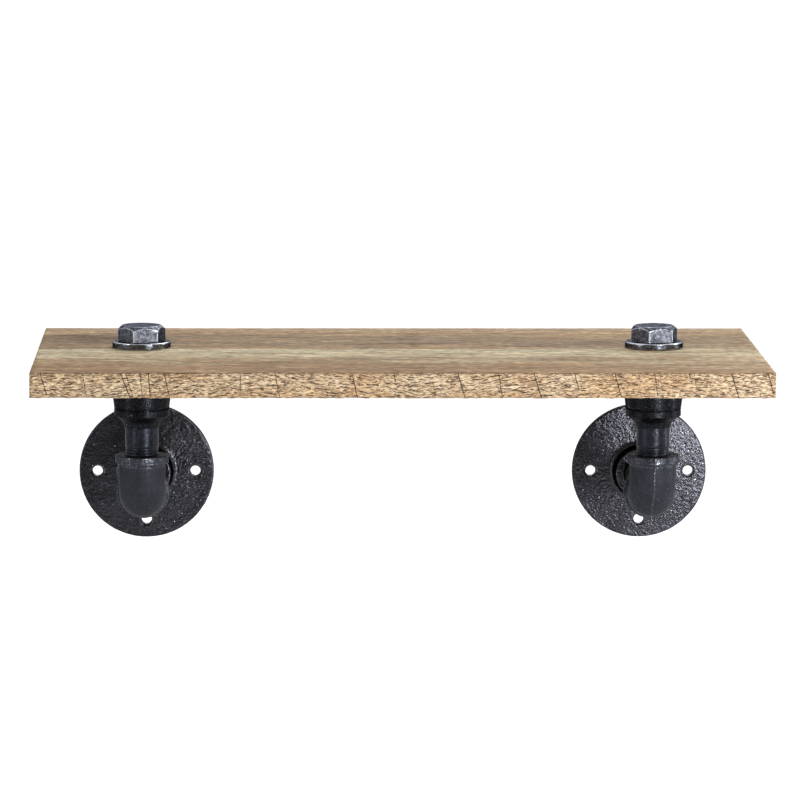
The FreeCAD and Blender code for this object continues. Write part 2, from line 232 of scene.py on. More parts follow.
def make_sand_skin():
    """The skin that a sand mould leaves: rounded grains, finer grit and a few polished tips, which
    the black iron finishes paint near-white as glints.
    """
    inputs = {"Grain Size": 1.2, "Grit Share": 0.4, "Tip Share": 0.1}
    tree, given, result = new_group("sand_skin", inputs, ["Height", "Grit", "Glint Tips"])
    finer = calc(tree, "DIVIDE", 1.0, given["Grain Size"])
    grains = vector(tree, "SCALE", spot_mm(tree), finer)

    def layer(scale, detail, roughness=0.5):
        inputs = {"Vector": grains, "Scale": scale, "Detail": detail, "Roughness": roughness}
        return put(tree, "TexNoise", inputs, out="Fac")

    rounded, grit, patchy = layer(1.0, 1.5), layer(3.1, 2.0, 0.6), layer(0.12, 2.0)
    height = calc(tree, "ADD", rounded, calc(tree, "MULTIPLY", grit, given["Grit Share"]))
    cells = put(tree, "TexVoronoi", {"Vector": grains, "Scale": 2.2}).node.outputs
    chance = put(tree, "SeparateColor", {0: cells["Color"]}).node.outputs
    patchy = fit_range(tree, patchy, 0.35, 0.65, 0.3, 1.8)
    chosen = calc(tree, "LESS_THAN", chance[0], calc(tree, "MULTIPLY", given["Tip Share"], patchy))
    tip_glint = calc(tree, "MULTIPLY", chosen, fit_range(tree, cells["Distance"], 0.5, 0.25))
    tip_glint = calc(tree, "MULTIPLY", tip_glint, calc(tree, "POWER", chance[1], 1.5))
    fill(tree, result, {"Height": height, "Grit": fit_range(tree, grit, 0.5, 0.72), "Glint Tips": tip_glint})
    return tree


def make_handling_marks():
    """Cloudy change of sheen where paint lies thinner or hands have been."""
    inputs = {"Dull": 0.5, "Shiny": 0.3}
    tree, given, result = new_group("handling_marks", inputs, ["Roughness", "Cloud"])
    place = spot_mm(tree)
    broad = noise(tree, place, (9, 9, 9), detail=3.0, roughness=0.6)
    small = noise(tree, place, (1.6, 1.6, 1.6), shift=(40, 0, 0))
    cloud = mingle(tree, broad, small, 0.65)
    sheen = fit_range(tree, cloud, 0.35, 0.65, given["Shiny"], given["Dull"], smooth=False)
    fill(tree, result, {"Roughness": sheen, "Cloud": cloud})
    return tree


def make_long_grain():
    """Wood fibre along the board: broad streaks, fine fibres and short open pores."""
    inputs = {"Fibre Length": 45.0, "Fibre Width": 1.6, "Waviness": 3.0}
    tree, given, result = new_group("long_grain", inputs, ["Streaks", "Fibres", "Pores"])
    place = spot_mm(tree)
    drift = swing(tree, noise(tree, place, (120, 60, 60)), given["Waviness"])
    waved = vector(tree, "ADD", place, put(tree, "CombineXYZ", {1: drift}))

    def layer(longer, wider, detail, roughness, shift):
        length = calc(tree, "MULTIPLY", given["Fibre Length"], longer)
        width = calc(tree, "MULTIPLY", given["Fibre Width"], wider)
        lengths = put(tree, "CombineXYZ", {0: length, 1: width, 2: width})
        return noise(tree, waved, lengths, detail, roughness, shift=shift)

    streaks = layer(3.0, 4.5, 3.0, 0.55, (0, 31, 0))
    fibres = layer(1.0, 1.0, 4.0, 0.62, (11, 0, 0))
    pores = fit_range(tree, layer(0.28, 0.4, 2.0, 0.5, (0, 0, 17)), 0.6, 0.74)
    fill(tree, result, {"Streaks": streaks, "Fibres": fibres, "Pores": pores})
    return tree


EDGE_WEAR = make_edge_wear()
SAND_SKIN = make_sand_skin()
HANDLING_MARKS = make_handling_marks()
LONG_GRAIN = make_long_grain()


# ---------------------------------------------------------------- the finishes
# colours across each stave, from front to back, and where they start and end along Y
FRONT_RANGE, BACK_RANGE = (-250.0, -131.0), (-125.0, -30.0)
FRONT_STAVE = (
    (0.0, paint(158, 130, 100)),
    (0.3, paint(166, 139, 108)),
    (0.5, paint(172, 150, 119)),
    (0.64, paint(192, 177, 146)),
    (1.0, paint(200, 188, 160)),
)
BACK_STAVE = (
    (0.0, paint(163, 140, 112)),
    (0.3, paint(146, 127, 104)),
    (0.6, paint(149, 130, 106)),
    (0.8, paint(168, 142, 111)),
    (1.0, paint(176, 154, 126)),
)
# patches on the face: centre and reach along and across the board, strength and colour. Most are
# darker tone patches, one is a small dark knot, and the paler patch at the right end is painted
# light
TONE_PATCHES_AND_PAINTED_LIGHT = (
    ((-203, -78), (40, 30), 0.8, paint(116, 97, 79)),
    ((85, -106), (90, 22), 0.55, paint(136, 117, 100)),
    ((60, -178), (110, 14), 0.4, paint(138, 120, 104)),
    # painted light: a paler patch over the right end of the face, where the light falls brighter
    ((215, -190), (75, 70), 0.7, paint(194, 173, 141)),
    ((190, -138), (120, 30), 0.9, paint(168, 153, 125)),
    ((-201.5, -70), (2.6, 2.2), 0.9, paint(66, 52, 44)),
)
TORN_OAK = (
    (0.37, paint(140, 114, 88)),
    (0.43, paint(174, 147, 117)),
    (0.5, paint(198, 174, 142)),
    (0.57, paint(216, 194, 162)),
    (0.66, paint(244, 230, 204)),
)
GUNMETAL = ((0.36, paint(52, 54, 61)), (0.5, paint(82, 85, 94)), (0.68, paint(122, 127, 138)))


def finish_board_face():
    """Planed oak in two staves that meet along the middle of the board."""
    finish, tree, shader = new_finish("planed_oak_face")
    place = spot_mm(tree)
    grain = use(tree, LONG_GRAIN, Fibre_Length=26.0, Fibre_Width=3.4, Waviness=9.0)
    y = part_of(tree, place, 1)
    figure = noise(tree, place, (95, 17, 17), detail=3.0, roughness=0.55, shift=(0, 0, 60))
    depth = calc(tree, "ADD", y, swing(tree, figure, 110.0))
    front = ramp(tree, fit_range(tree, depth, *FRONT_RANGE, smooth=False), FRONT_STAVE)
    back = ramp(tree, fit_range(tree, depth, *BACK_RANGE, smooth=False), BACK_STAVE)
    seam = fit_range(tree, y, STAVE_SEAM - 0.5, STAVE_SEAM + 0.5)
    colour = blend(tree, seam, front, back)
    ragged = swing(tree, grain["Streaks"], 1.6)
    for centre, size, strength, tone in TONE_PATCHES_AND_PAINTED_LIGHT:
        away = vector(tree, "SUBTRACT", place, (*centre, BOARD_TOP))
        away = length_of(tree, vector(tree, "DIVIDE", away, (*size, 1000.0)))
        share = fit_range(tree, calc(tree, "ADD", away, ragged), 1.1, 0.1, 0.0, strength)
        colour = blend(tree, share, colour, tone)
    flecks = noise(tree, place, (11, 3.2, 3.2), detail=3.0, roughness=0.6, shift=(5, 0, 0))
    mottle = noise(tree, place, (7, 3.4, 3.4), roughness=0.6, shift=(0, 0, 5))
    short = noise(tree, place, (4, 2.8, 2.8), detail=1.0, shift=(0, 8, 5))
    for layer, contrast in (
        (grain["Streaks"], 0.2),
        (grain["Fibres"], 0.34),
        (flecks, 0.24),
        (mottle, 0.3),
        (short, 0.2),
    ):
        level = fit_range(tree, layer, 0.3, 0.7, 1 - contrast, 1 + contrast, smooth=False)
        colour = shade(tree, colour, level)
    warm = noise(tree, place, (30, 9, 9), shift=(0, 50, 0))
    colour = blend(tree, fit_range(tree, warm, 0.5, 0.7, 0.0, 0.35), colour, paint(186, 140, 104))
    colour = blend(tree, calc(tree, "MULTIPLY", grain["Pores"], 0.45), colour, paint(98, 80, 66))
    height = calc(tree, "SUBTRACT", grain["Fibres"], calc(tree, "MULTIPLY", grain["Pores"], 0.6))
    values = {"Base Color": colour, "Specular IOR Level": 0.1}
    values["Roughness"] = fit_range(tree, grain["Fibres"], 0.3, 0.7, 0.86, 0.7)
    values["Normal"] = raise_bump(tree, height, 0.3, 0.6)
    fill(tree, shader, values)
    return finish


def finish_board_edge():
    """Rough-sawn oak: torn fibre, short dark checks between the fibres and slanting saw cuts."""
    finish, tree, shader = new_finish("rough_sawn_oak_edge")
    place = spot_mm(tree)
    sway = swing(tree, noise(tree, place, (38, 38, 20), detail=1.0, shift=(0, 0, 90)), 9.0)
    flow = vector(tree, "ADD", place, put(tree, "CombineXYZ", {2: sway}))
    torn = noise(tree, flow, (2.4, 2.4, 0.65), detail=3.0, roughness=0.65)
    strands = noise(tree, flow, (7, 7, 1.1), detail=3.0, roughness=0.65, shift=(0, 0, 40))
    tone = mingle(tree, torn, strands, 0.68)
    colour = ramp(tree, tone, TORN_OAK)
    warm = noise(tree, place, (40, 40, 12), shift=(9, 0, 0))
    warm = fit_range(tree, warm, 0.35, 0.65, 0.0, 0.45)
    colour = blend(tree, warm, colour, paint(240, 215, 185), "MULTIPLY")
    # painted light: the edge is made a little paler at its left end and darker from the middle to
    # the right end, evening out the fall of light from the lamp at the right
    colour = shade(tree, colour, fit_range(tree, part_of(tree, place, 0), -230.0, 0.0, 1.02, 0.96))

    # dark checks run between the fibres, round long cells and along the ridges of a noise
    wobble = noise(tree, flow, (2.4, 2.4, 1.2), out="Color", shift=(3, 0, 0))
    cells = vector(tree, "DIVIDE", flow, (5.6, 5.6, 1.5))
    cells = vector(tree, "ADD", cells, vector(tree, "SCALE", wobble, 0.6))
    inputs = {"Vector": cells, "Scale": 1.0}
    rims = put(tree, "TexVoronoi", inputs, out="Distance", feature="DISTANCE_TO_EDGE")
    field = noise(tree, flow, (6.5, 6.5, 1.7), roughness=0.6, shift=(0, 0, 23))
    for lines, width, strength, shift in (
        (rims, 0.1, 0.55, 0),
        (gap_to(tree, field, 0.5), 0.02, 0.7, 60),
    ):
        patchy = noise(tree, flow, (4.6, 4.6, 1.7), detail=1.5, shift=(shift, 30, 0))
        patchy = fit_range(tree, patchy, 0.4, 0.54, 0.0, strength)
        check = calc(tree, "MULTIPLY", fit_range(tree, lines, width, width * 0.35), patchy)
        colour = blend(tree, check, colour, paint(78, 64, 54))
    split = fit_range(tree, mask(tree, "check"), 0.16, 0.4, 0.0, 0.95)
    colour = blend(tree, split, colour, paint(60, 48, 41))

    # painted shade: both arrises are darkened in broken strokes over their last millimetre, where
    # the eased edges turn away from the light
    half = BOARD_THICKNESS / 2
    from_middle = gap_to(tree, part_of(tree, place, 2), BOARD_TOP - half)
    shade_dashes = noise(tree, place, (2.6, 2.6, 2.6), roughness=0.6, shift=(0, 70, 0))
    shade_dashes = fit_range(tree, shade_dashes, 0.44, 0.56, 0.25, 0.75)
    arris = fit_range(tree, from_middle, half - 1.1, half - 0.5)
    colour = blend(tree, calc(tree, "MULTIPLY", arris, shade_dashes), colour, paint(92, 74, 60))

    # the saw cuts, with ragged sides
    cut = calc(tree, "ABSOLUTE", mask(tree, "cut_gap"))
    uneven = noise(tree, place, (2.0, 2.0, 2.0), shift=(0, 9, 0))
    cut = calc(tree, "ADD", cut, swing(tree, uneven, 0.45))
    sawn = calc(tree, "MULTIPLY", fit_range(tree, cut, 0.42, 0.22), mask(tree, "cut_depth"))
    colour = blend(tree, fit_range(tree, sawn, 0.05, 0.7, 0.0, 0.95), colour, paint(54, 44, 40))
    values = {"Base Color": colour, "Roughness": 0.85, "Specular IOR Level": 0.1}
    fill(tree, shader, {**values, "Normal": raise_bump(tree, tone, 0.4, 0.8)})
    return finish


def finish_black_iron(
    name,
    metal,
    tone,
    thin_tone,
    bare_tone,
    flecks,
    tips,
    skin,
    sheen,
    worn_at=(0.12, 0.26, 0.08),
    bump=(0.2, 0.7),
    polished=False,
):
    """Black iron with its skin, cloudy sheen and rubbed edges.

    skin is (grain size in millimetres, share of grit), sheen is (dull, shiny) roughness, worn_at
    is (start, full, breakup) of the edge wear and bump is (millimetres, strength). A polished
    casting also shines where its mesh carries the mask "polish".
    """
    finish, tree, shader = new_finish(name)
    grain = use(tree, SAND_SKIN, Grain_Size=skin[0], Grit_Share=skin[1], Tip_Share=tips)
    marks = use(tree, HANDLING_MARKS, Dull=sheen[0], Shiny=sheen[1])
    worn = use(tree, EDGE_WEAR, Start=worn_at[0], Full=worn_at[1], Breakup=worn_at[2])["Worn"]
    colour = blend(tree, fit_range(tree, marks["Cloud"], 0.35, 0.65), tone, thin_tone)
    colour = blend(tree, calc(tree, "MULTIPLY", grain["Grit"], flecks), colour, bare_tone)
    colour = blend(tree, worn, colour, bare_tone)
    # painted glints: the polished tips of the grains are coloured near-white, standing for sparkles
    # of light
    colour = blend(tree, grain["Glint Tips"], colour, paint(214, 217, 225))
    rough = calc(tree, "SUBTRACT", marks["Roughness"], calc(tree, "MULTIPLY", grain["Grit"], 0.12))
    shader["Metallic"].default_value = metal
    if polished:
        polish = mask(tree, "polish")
        bright = fit_range(tree, grain["Height"], 0.68, 0.84, 0.04, 0.95)
        bright = calc(tree, "MULTIPLY", polish, bright)
        colour = blend(tree, bright, colour, paint(114, 117, 124))
        rough = calc(tree, "SUBTRACT", rough, calc(tree, "MULTIPLY", polish, 0.3))
        fill(tree, shader, {"Metallic": fit_range(tree, bright, 0.02, 0.3, metal, 1.0)})
    values = {"Base Color": colour, "Roughness": rough, "Specular IOR Level": 0.3}
    values["Specular Tint"] = (0.12, 0.12, 0.13, 1)
    fill(tree, shader, {**values, "Normal": raise_bump(tree, grain["Height"], *bump)})
    return finish


def finish_gunmetal(name, sheen):
    """Blackened steel, polished by handling and bare along its edges."""
    finish, tree, shader = new_finish(name)
    grain = use(tree, SAND_SKIN, Grain_Size=1.5, Grit_Share=0.5)
    marks = use(tree, HANDLING_MARKS, Dull=sheen[0], Shiny=sheen[1])
    worn = use(tree, EDGE_WEAR, Start=0.035, Full=0.09, Breakup=0.2)["Worn"]
    place = spot_mm(tree)
    rubbed = noise(tree, place, (2.4, 2.4, 2.4), detail=5.0, roughness=0.7, shift=(0, 7, 0))
    scrapes = noise(tree, place, (2.0, 2.0, 1.2), detail=3.0, roughness=0.6, shift=(0, 0, 31))
    scrapes = fit_range(tree, gap_to(tree, scrapes, 0.5), 0.022, 0.008)
    scrapes = calc(tree, "MULTIPLY", scrapes, fit_range(tree, rubbed, 0.45, 0.6, 0.0, 0.6))
    colour = blend(tree, scrapes, ramp(tree, rubbed, GUNMETAL), paint(180, 184, 192))
    colour = blend(tree, worn, colour, paint(204, 208, 216))
    rough = calc(tree, "SUBTRACT", marks["Roughness"], calc(tree, "MULTIPLY", worn, 0.08))
    values = {"Base Color": colour, "Roughness": rough, "Metallic": 1.0}
    values["Specular Tint"] = (0.25, 0.25, 0.27, 1)
    fill(tree, shader, {**values, "Normal": raise_bump(tree, grain["Height"], 0.1, 0.6)})
    return finish


BOARD_FACE = finish_board_face()
BOARD_EDGE = finish_board_edge()
FLANGE_IRON = finish_black_iron(
    "sand_cast_black_iron",
    metal=0.95,
    tone=paint(42, 42, 46),
    thin_tone=paint(54, 54, 59),
    bare_tone=paint(150, 152, 160),
    flecks=0.2,
    tips=0.012,
    skin=(1.7, 0.4),
    sheen=(0.23, 0.14),
    # worn rims, set low so that the bare rim also stands as a painted highlight along the flange's
    # edge
    worn_at=(0.09, 0.22, 0.1),
    bump=(0.3, 1.0),
)
ELBOW_IRON = finish_black_iron(
    "satin_black_iron",
    metal=0.6,
    tone=paint(36, 38, 43),
    thin_tone=paint(46, 48, 54),
    bare_tone=paint(110, 112, 120),
    flecks=0.3,
    tips=0.004,
    skin=(1.0, 0.35),
    sheen=(0.66, 0.52),
    bump=(0.15, 0.7),
    polished=True,
)
# a gloss black, whose tone is also darkened as painted shade: the shade that the board above casts
# on the coupling
SHADED_COUPLING_IRON = finish_black_iron(
    "gloss_black_iron_shaded",
    metal=0.8,
    tone=paint(7, 8, 11),
    thin_tone=paint(15, 16, 20),
    bare_tone=paint(120, 122, 130),
    flecks=0.3,
    tips=0.012,
    skin=(1.3, 0.35),
    sheen=(0.48, 0.32),
)
PIPE_STEEL = finish_black_iron(
    "black_steel_pipe",
    metal=0.6,
    tone=paint(26, 27, 32),
    thin_tone=paint(41, 44, 51),
    bare_tone=paint(140, 142, 150),
    flecks=0.1,
    tips=0.0,
    skin=(2.6, 0.3),
    sheen=(0.4, 0.24),
)
BOLT_STEEL = finish_gunmetal("blackened_steel", sheen=(0.5, 0.36))
WASHER_STEEL = finish_gunmetal("blackened_bright_steel", sheen=(0.3, 0.16))


# ---------------------------------------------------------------- shapes in numbers
def held(values):
    """Holds values between 0 and 1."""
    return np.clip(values, 0, 1)


def eased(share):
    """Turns an even run from 0 to 1 into one that starts and stops softly."""
    return share * share * (3 - 2 * share)


def near_line(gap, width):
    """1 on a line, falling off with the gap to it."""
    return np.exp(-((gap / width) ** 2))


def within_half_turn(angle):
    return (angle + math.pi) % FULL_TURN - math.pi


def direction_of(step):
    return step / np.linalg.norm(step)


def lumps(points, size, seed):
    """Smooth noise from -1 to 1 at each point, in lumps about size millimetres across.

    Each corner of a cell gets a height from its own place: large odd factors scatter it over 32
    bits. A point then takes its share of the eight corners round it.
    """
    spread = np.asarray(points, float) / size
    cell = np.floor(spread).astype(np.int64)
    part = eased(spread - cell)
    total = np.zeros(len(spread))
    for corner in itertools.product((0, 1), repeat=3):
        code = (cell + corner) @ np.array([73856093, 19349663, 83492791]) + seed * 7919
        code &= 0xFFFFFFFF
        for step, factor in ((15, 2246822519), (13, 3266489917)):
            code = ((code ^ (code >> step)) * factor) & 0xFFFFFFFF
        height = (code ^ (code >> 16)) / 2**31 - 1
        total += height * np.prod(np.where(corner, part, 1 - part), axis=1)
    return total


def soft_outline(corners, segments=4):
    """Rows (along, radius) round a closed outline.

    Each corner is (along, radius, rounding, step), where step is the longest run between rows
    on the side that follows it.
    """
    arcs = []
    for number, (along, radius, rounding, _) in enumerate(corners):
        here = np.array([along, radius], float)
        if not rounding:
            arcs.append([here])
            continue
        before = direction_of(np.array(corners[number - 1][:2]) - here)
        after = direction_of(np.array(corners[(number + 1) % len(corners)][:2]) - here)
        half = math.acos(np.clip(before @ after, -1, 1)) / 2
        centre = here + direction_of(before + after) * rounding / math.sin(half)
        start = here + before * rounding / math.tan(half) - centre
        stop = here + after * rounding / math.tan(half) - centre
        first = math.atan2(start[1], start[0])
        turn = within_half_turn(math.atan2(stop[1], stop[0]) - first)
        angles = first + turn * np.linspace(0, 1, segments + 1)
        arcs.append([centre + rounding * np.array([math.cos(a), math.sin(a)]) for a in angles])
    rows = []
    for number, arc in enumerate(arcs):
        rows += arc
        goal = arcs[(number + 1) % len(arcs)][0]
        count = max(1, math.ceil(np.linalg.norm(goal - arc[-1]) / corners[number][3]))
        rows += [arc[-1] + (goal - arc[-1]) * step / count for step in range(1, count)]
    return np.array(rows)


def straight_route(origin, axis, side=ACROSS):
    """A centre line from origin along axis; angles round it start at side."""
    origin, axis, side = (np.array(v, float) for v in (origin, axis, side))

    def route(along):
        ones = np.ones((*along.shape, 1))
        return origin + along[..., None] * axis, ones * side, ones * np.cross(axis, side)

    return route


def elbow_route(origin, reach, bend):
    """Down from the upper mouth, round a quarter turn and out of the rear mouth."""
    run, turn = reach - bend, bend * math.pi / 2

    def route(along):
        angle = np.clip((along - run) / bend, 0, math.pi / 2)
        down, out = np.minimum(along, run), np.maximum(along - run - turn, 0)
        y = bend * (1 - np.cos(angle)) + out
        z = reach - down - bend * np.sin(angle)
        flat = np.zeros_like(along)
        centre = np.array(origin) + np.stack([flat, y, z], -1)
        side = np.stack([flat + 1, flat, flat], -1)
        heel = np.stack([flat, -np.cos(angle), -np.sin(angle)], -1)
        return centre, side, heel

    return route


def spin(rows, columns):
    """Rows (along, radius) repeated round a full turn, with the angle of every point."""
    angle = np.linspace(0, FULL_TURN, columns, endpoint=False) + np.zeros((len(rows), 1))
    along, radius = (np.repeat(rows[:, k : k + 1], columns, 1) for k in (0, 1))
    return along, radius, angle


# ---------------------------------------------------------------- mesh helpers
def new_object(name, data):
    """Puts a mesh, lamp or lens in the scene."""
    thing = bpy.data.objects.new(name, data)
    scene.collection.objects.link(thing)
    return thing


def box_mm(node):
    """A node's lowest corner, highest corner and centre, in millimetres."""
    low, high = (np.array(corner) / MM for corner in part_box(node))
    return low, high, (low + high) / 2


def solid_mesh(name, points, faces):
    mesh = bpy.data.meshes.new(name)
    mesh.from_pydata(points.tolist(), [], faces)
    work = bmesh.new()
    work.from_mesh(mesh)
    bmesh.ops.recalc_face_normals(work, faces=work.faces)
    work.to_mesh(mesh)
    work.free()
    return mesh


def faces_between(here, after):
    """Faces that join closed rings of point numbers to the rings after them."""
    faces = np.stack([here, np.roll(here, -1, 1), np.roll(after, -1, 1), after], -1)
    return faces.reshape(-1, 4).tolist()


def ring_mesh(name, along, radius, angle, route, loop=True):
    """A closed mesh of rings round a route; the rows close in a loop, or each end is capped."""
    centre, side, rise = route(along)
    around = np.cos(angle)[..., None] * side + np.sin(angle)[..., None] * rise
    points = centre + radius[..., None] * around
    index = np.arange(along.size).reshape(along.shape)
    if loop:
        faces = faces_between(index, np.roll(index, -1, 0))
    else:
        faces = faces_between(index[:-1], index[1:])
        faces += [index[0][::-1].tolist(), index[-1].tolist()]
    return solid_mesh(name, points.reshape(-1, 3), faces)


def read_all(things, name, width, kind=float):
    """One property of every point, edge or face, in rows of width numbers."""
    values = np.empty(len(things) * width, kind)
    things.foreach_get(name, values)
    return values.reshape(-1, width)


def points_of(mesh):
    return read_all(mesh.vertices, "co", 3)


def normals_of(mesh):
    return read_all(mesh.vertex_normals, "vector", 3, np.float32)


def press_in(mesh, depth):
    """Moves each point inwards along its normal, by its own depth in millimetres."""
    moved = points_of(mesh) - normals_of(mesh) * depth[:, None]
    mesh.vertices.foreach_set("co", moved.ravel())
    mesh.update()


def roughen(mesh, depth, *layers, where=True):
    """Presses the skin in by a depth and by layers of lumps (height, size, seed)."""
    spots = points_of(mesh)
    for height, size, seed in layers:
        depth = depth + height * lumps(spots, size, seed)
    press_in(mesh, np.where(where, depth, 0.0))


def write_mask(mesh, name, values):
    layer = mesh.attributes.new(name, "FLOAT", "POINT")
    layer.data.foreach_set("value", np.asarray(values, np.float32))


def mark_crests(mesh):
    """Writes how proud of its neighbours each point stands, which is where edges wear."""
    points, normals = points_of(mesh), normals_of(mesh)
    ends = read_all(mesh.edges, "vertices", 2, int)
    one, two = ends.T
    line = points[two] - points[one]
    line /= np.maximum(np.linalg.norm(line, axis=1), 1e-9)[:, None]
    count = len(points)
    fall = np.bincount(one, -(normals[one] * line).sum(1), count)
    fall += np.bincount(two, (normals[two] * line).sum(1), count)
    links = np.maximum(np.bincount(ends.ravel(), minlength=count), 1)
    crest = fall / links
    for _ in range(2):
        near = np.bincount(one, crest[two], count) + np.bincount(two, crest[one], count)
        crest = 0.5 * crest + 0.5 * near / links
    write_mask(mesh, "crest", crest)


def cut_away(mesh, cutters):
    """Takes the cutters' shapes out of the mesh."""
    name = mesh.name
    joined = bmesh.new()
    for cutter in cutters:
        joined.from_mesh(cutter)
    tool_mesh = bpy.data.meshes.new("cutters")
    joined.to_mesh(tool_mesh)
    joined.free()
    body, tool = new_object("body_to_cut", mesh), new_object("cutters", tool_mesh)
    drill = body.modifiers.new("drill", "BOOLEAN")
    drill.operation, drill.solver, drill.object = "DIFFERENCE", "EXACT", tool
    ready = bpy.context.evaluated_depsgraph_get()
    result = bpy.data.meshes.new_from_object(body.evaluated_get(ready))
    for thing in (body, tool):
        bpy.data.objects.remove(thing)
    for spent in (mesh, tool_mesh, *cutters):
        bpy.data.meshes.remove(spent)
    result.name = name
    return result


def finish_piece(mesh, finishes, node):
    """Turns a mesh in millimetres into the piece that stands for a node of the frame."""
    mark_crests(mesh)
    mesh.transform(Matrix.Scale(MM, 4))
    mesh.shade_smooth()
    for finish in finishes:
        mesh.materials.append(finish)
    piece = new_object(mesh.name, mesh)
    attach(piece, "root")
    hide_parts(node)
    return piece


# ---------------------------------------------------------------- the board
FACE_CELLS, EDGE_ROWS = (112, 55), 47  # cells along and across a face, rows up the edge
FINE_CELLS = {"front": 6, "right": 5, "back": 3, "left": 5}  # edge cells for each cell of the face
FACE_MARGIN, CORNER_RADIUS, EASING, CHIP_HEIGHT = 4.0, 1.2, 0.6, 0.45
CHECK_SPACING, CUT_WIDTH, PATTERN_SEED = 0.95, 0.4, 11
# each saw cut in the front edge: place from the left end, slant from top to bottom, strength
FRONT_SAW_CUTS = (
    (5.6, 4.6, 0.8), (31.5, 2.4, 0.6), (54.5, 6.1, 1.0), (57.5, 5.0, 0.6), (66.5, 1.5, 0.6),
    (71.5, 1.5, 0.8), (81, 3.8, 0.8), (84, 3.2, 0.4), (127.5, 0.8, 0.6), (148.8, 3.0, 0.7),
    (172, 2.5, 0.3), (195.8, 3.6, 0.8), (221.5, 2.4, 0.7), (244, 3.5, 0.4), (260.5, 4.6, 0.9),
    (285.5, 2.4, 0.7), (307, 4.9, 1.0), (332, 3.8, 0.7), (356.5, 4.5, 1.0), (381, 2.3, 0.7),
    (384, 2.6, 0.4), (402, 4.6, 0.7), (405, 3.0, 0.5), (428, 4.9, 0.9), (450.5, 4.5, 0.9),
)


def board_plan(low, high):
    """Points, outward directions and first points of the sides round the board's plan."""
    long, deep = high[0] - low[0], high[1] - low[1]
    sides = (
        ("front", (0, -1), (1, 0), (low[0], low[1]), FACE_CELLS[0], long),
        ("right", (1, 0), (0, 1), (high[0], low[1]), FACE_CELLS[1], deep),
        ("back", (0, 1), (-1, 0), (high[0], high[1]), FACE_CELLS[0], long),
        ("left", (-1, 0), (0, -1), (low[0], high[1]), FACE_CELLS[1], deep),
    )
    points, outward, starts = [], [], []
    for name, away, ahead, start, cells, length in sides:
        away, ahead, start = (np.array(v, float) for v in (away, ahead, start))
        starts.append(len(points))
        count = cells * FINE_CELLS[name] + 1
        for run in np.linspace(CORNER_RADIUS, length - CORNER_RADIUS, count):
            points.append(start + ahead * run)
            outward.append(away)
        centre = start + ahead * (length - CORNER_RADIUS) - away * CORNER_RADIUS
        for turn in (30, 60):
            angle = math.radians(turn)
            direction = away * math.cos(angle) + ahead * math.sin(angle)
            points.append(centre + CORNER_RADIUS * direction)
            outward.append(direction)
    return np.array(points), np.array(outward), starts


def board_rows(thickness):
    """Heights of the rows up the edge, and how far each is set in: both arrises are rounded."""
    turns = np.radians([0, 30, 60])
    rise, inset = EASING * (1 - np.cos(turns)), EASING * (1 - np.sin(turns))
    body = np.linspace(EASING, thickness - EASING, EDGE_ROWS)
    heights = np.concatenate([rise, body, thickness - rise[::-1]])
    return heights, np.concatenate([inset, 0 * body, inset[::-1]])


def draw_checks(runs, heights, total, thickness, pick):
    """Short checks that follow the grain of the edge, from 0 to 1 at every row and column."""
    checks = np.zeros((len(heights), len(runs)))
    for layer in np.arange(0.4, thickness, CHECK_SPACING):
        start = pick.uniform(-4, 0)
        while start < total:
            stop = start + min(1.8 + pick.exponential(3.0), 12)
            level = layer + pick.normal(0, 0.25)
            lean = 0.1 * math.sin(start / 37) + pick.normal(0, 0.06)
            bow, beat = pick.uniform(0.05, 0.3), pick.uniform(3, 7)
            phase = pick.uniform(0, FULL_TURN)
            width, strength = pick.uniform(0.15, 0.24), pick.uniform(0.45, 1.0)
            first, last = np.searchsorted(runs, (start, stop))
            if last > first:
                run = runs[first:last]
                share = (run - start) / (stop - start)
                fade = held(np.minimum(share, 1 - share) * 5)
                line = level + lean * (run - start) + bow * np.sin(run / beat * FULL_TURN + phase)
                mark = strength * fade * near_line(heights[:, None] - line, width)
                checks[:, first:last] = np.maximum(checks[:, first:last], mark)
            start = stop + 0.3 + pick.exponential(1.6)
    return checks


def draw_saw_cuts(runs, heights, total, thickness, pick):
    """How far each row and column is from the nearest saw cut, and how deep that cut is there.

    The distance changes its sign at each cut, so that it runs evenly across the mesh. The front
    edge has its own cuts and the other edges get theirs by chance.
    """
    found = list(FRONT_SAW_CUTS)
    run = BOARD_LENGTH
    while run < total - 8:
        found.append((run, pick.uniform(2, 6.5), pick.uniform(0.35, 1.0)))
        run += pick.uniform(9, 26)
    lines, depths = [], []
    for run, slant, strength in sorted(found):
        fall = (thickness - heights) / thickness
        lines.append(run + slant * fall + 0.1 * np.sin(heights * pick.uniform(0.5, 1.2)))
        top = thickness + 1 - pick.exponential(2.0) * (1.1 - strength)
        bottom = pick.exponential(6.0) * (1.1 - strength) - 1
        broken = 0.8 + 0.2 * np.sin(heights * pick.uniform(1.0, 2.4) + pick.uniform(0, 6))
        open_part = held((top - heights) * 1.5) * held((heights - bottom) * 1.5)
        depths.append(strength * broken * open_part)
    lines, depths = np.array(lines), np.array(depths)
    gap, depth = np.zeros((2, len(heights), len(runs)))
    for row in range(len(heights)):
        after = np.searchsorted(lines[:, row], runs)
        left, right = np.maximum(after - 1, 0), np.minimum(after, len(lines) - 1)
        to_left, to_right = np.abs(runs - lines[left, row]), np.abs(lines[right, row] - runs)
        sign = np.where(after % 2, -1, 1)
        gap[row] = sign * np.minimum(to_left, to_right)
        depth[row] = np.where(to_left < to_right, depths[left, row], depths[right, row])
    return np.clip(gap, -3, 3), depth


